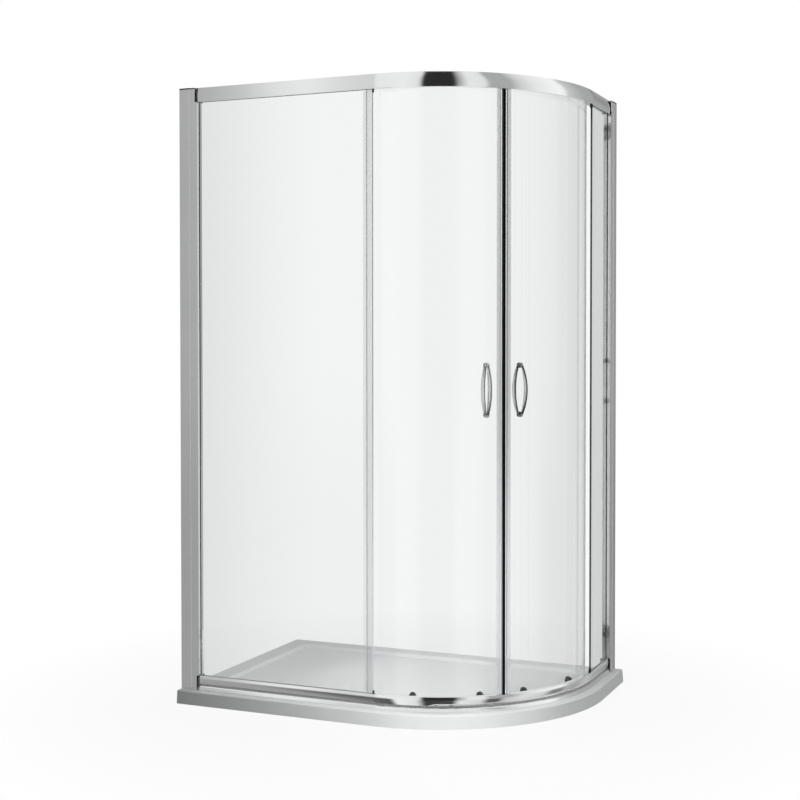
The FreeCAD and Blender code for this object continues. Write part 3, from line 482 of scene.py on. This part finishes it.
# ---- studio ---------------------------------------------------------------------------------
# Light and dark bands of the studio as the metal and the glass reflect them, by compass
# angle in degrees: 0 is ahead of the long front (-Y), 90 is ahead of the short side (+X).
# Places and tones follow the bands that the photographed rails show. First those at and
# above the horizon, then those below it.
REFLECTED_ABOVE = [(-180, 0.55), (-90, 0.45), (-34, 0.42), (-31.6, 0.46), (-29.6, 0.6), (-28.4, 0.86),
                   (-27, 1.0), (-25.6, 1.0), (-24.8, 0.55), (-23.5, 0.8), (-22, 0.95), (-3, 1.0), (8, 0.9),
                   (11, 0.03), (32, 0.03), (36, 0.5), (42, 0.95), (53, 0.92), (57, 0.47), (72, 0.47),
                   (80, 0.75), (92, 0.95), (114, 1.1), (119, 1.0), (123, 0.68), (133, 0.56), (144, 0.46),
                   (163, 0.43), (167, 0.3), (180, 0.55)]
REFLECTED_BELOW = [(-180, 0.5), (-90, 0.4), (-34, 0.38), (-30, 0.42), (-28, 0.33), (-26, 0.15),
                   (-12, 0.11), (-8, 1.05), (6, 0.9), (12, 0.05), (31, 0.08), (36, 0.95), (51, 0.8),
                   (56, 0.12), (63, 0.12), (68, 0.65), (81, 0.85), (100, 0.75), (108, 0.26), (116, 0.26),
                   (122, 0.5), (133, 0.42), (150, 0.6), (163, 0.45), (166, 0.25), (180, 0.5)]
# The largest tone that a ramp has to hold; its stops are tones divided by this.
REFLECTED_SCALE = 1.25

# The backdrop as seen through the panes, which falls off to both sides as in the
# photograph, and the bright patch that the metal behind the right pane reflects.
SEEN_THROUGH = [(-168, 0.80), (-164.5, 0.82), (-163.6, 0.86), (-162, 0.94), (-160, 1.0), (-156, 1.0),
                (-153, 0.985), (-151.5, 0.95), (-150, 0.9), (-148.4, 0.83), (-147, 0.8), (-22, 0.8),
                (-18, 1.2), (-10, 1.2), (-6, 0.8)]

# Where the bands below the horizon go over into those above it, and where the overhead
# light starts, as the Z part of a direction; then the tones overhead and for matt surfaces.
HORIZON = (-0.12, -0.02)
OVERHEAD = (0.715, 0.745)
OVERHEAD_TONE = 0.9
MATT_TONE = 0.05

# The floor lies just below the object. This share of it lets the white through close to the
# object, and all of it does beyond the fade, whose ends are distances from the middle.
FLOOR_SIZE = 60
FLOOR_DROP = 0.0005
FLOOR_CLEAR_NEAR = 0.92
FLOOR_FADE = (0.6, 1.4)


def toned(graph, table, compass):
    """The tone that a table gives for a compass value, which runs from 0 to 1 all round."""
    places = [((angle + 180) / 360, (tone / REFLECTED_SCALE,) * 3) for angle, tone in table]
    ramp = graph.node("ShaderNodeValToRGB", {"stops": places}, Fac=compass)
    return graph.node("ShaderNodeRGBToBW", Color=ramp) * REFLECTED_SCALE


def compass_of(x, y):
    return x.math("ARCTAN2", y * -1.0) / (2 * math.pi) + 0.5


def steady_compass(axes):
    """Compass value that keeps to the X part of a direction ahead and to the left, so a
    reflection there stands upright on a straight rail however its front leans."""
    x, y, z = axes.output("X"), axes.output("Y"), axes.output("Z")
    ahead_left = x.math("LESS_THAN", 0.0) * y.math("LESS_THAN", 0.0)
    length = (y * y + z * z * ahead_left).math("SQRT")
    return compass_of(x, length * y.math("SIGN"))


def make_world():
    """White for the eye, soft bands for reflections, dim for matt surfaces."""
    world = bpy.data.worlds.new("studio")
    scene.world = world
    world.use_nodes = True
    graph = Graph(world.node_tree)
    axes = graph.node("ShaderNodeSeparateXYZ", Vector=graph.node("ShaderNodeTexCoord"))
    height = axes.output("Z")
    compass = compass_of(axes.output("X"), axes.output("Y"))
    above = toned(graph, REFLECTED_ABOVE, steady_compass(axes))
    below = toned(graph, REFLECTED_BELOW, compass)
    bands = below + (above - below) * height.rises(*HORIZON)
    overhead = height.rises(*OVERHEAD)
    bands = bands + (OVERHEAD_TONE - bands) * overhead
    camera, through, glossy = graph.ray("Camera"), graph.ray("Transmission"), graph.ray("Glossy")
    seen = camera.either(through)
    strength = seen * (camera + (1 - camera) * toned(graph, SEEN_THROUGH, compass)) \
        + (1 - seen) * (glossy * bands + (1 - glossy) * MATT_TONE)
    background = world.node_tree.nodes["Background"]
    background.inputs["Color"].default_value = rgb(1, 1, 1)
    world.node_tree.links.new(strength.socket, background.inputs["Strength"])


def make_floor():
    """Pale floor that keeps the shadow near the object and lets the white of the world through."""
    bpy.ops.object.select_all(action="DESELECT")
    bpy.ops.mesh.primitive_plane_add(size=FLOOR_SIZE, location=(0, 0, -FLOOR_DROP))
    floor = bpy.context.active_object
    floor.name = "studio_floor"
    floor.visible_glossy = False
    finish = Finish("studio_floor")
    finish.set(Base_Color=rgb(0.55, 0.55, 0.55), Roughness=0.9, Specular_IOR_Level=0.0)
    distance = finish.node("ShaderNodeVectorMath", {"operation": "LENGTH"}, out=1, i0=finish.place)
    far = distance.rises(*FLOOR_FADE)
    clear = far * (1 - FLOOR_CLEAR_NEAR) + FLOOR_CLEAR_NEAR
    seen_through = finish.ray("Camera").either(finish.ray("Transmission")) * clear
    finish.surface(finish.blend(seen_through, Value(finish.tree, finish.bsdf.outputs[0]),
                                finish.node("ShaderNodeBsdfTransparent")))
    floor.data.materials.append(finish.material)


# Name, place, target, size in metres, power in watts, spread in degrees.
LAMPS = [("key", (0.66, -1.1, 0.88), (0.24, -0.3, 0.0), (0.5, 0.5), 2.8, 78),
         ("fill", (2.6, 3.0, 0.8), (0.2, 0, 0.4), (1.2, 1.6), 45, 180),
         ("top", (-0.1, 0.1, 3.4), (0, 0, 0), (1.8, 1.4), 28, 180),
         ("inside", (0.0, 0.06, 2.7), (0.0, 0.06, 0), (0.6, 0.3), 1.0, 28)]


def area_light(name, place, target, size, power, spread):
    data = bpy.data.lights.new(name, "AREA")
    data.shape = "RECTANGLE"
    data.size, data.size_y = size
    data.energy = power
    data.spread = math.radians(spread)
    lamp = bpy.data.objects.new(name, data)
    scene.collection.objects.link(lamp)
    lamp.location = place
    lamp.rotation_euler = (Vector(target) - Vector(place)).to_track_quat("-Z", "Y").to_euler()
    lamp.visible_camera = False
    lamp.visible_glossy = False
    lamp.visible_transmission = False


make_camera()
make_world()
make_floor()
for lamp_values in LAMPS:
    area_light(*lamp_values)

scene.view_settings.view_transform = "Standard"
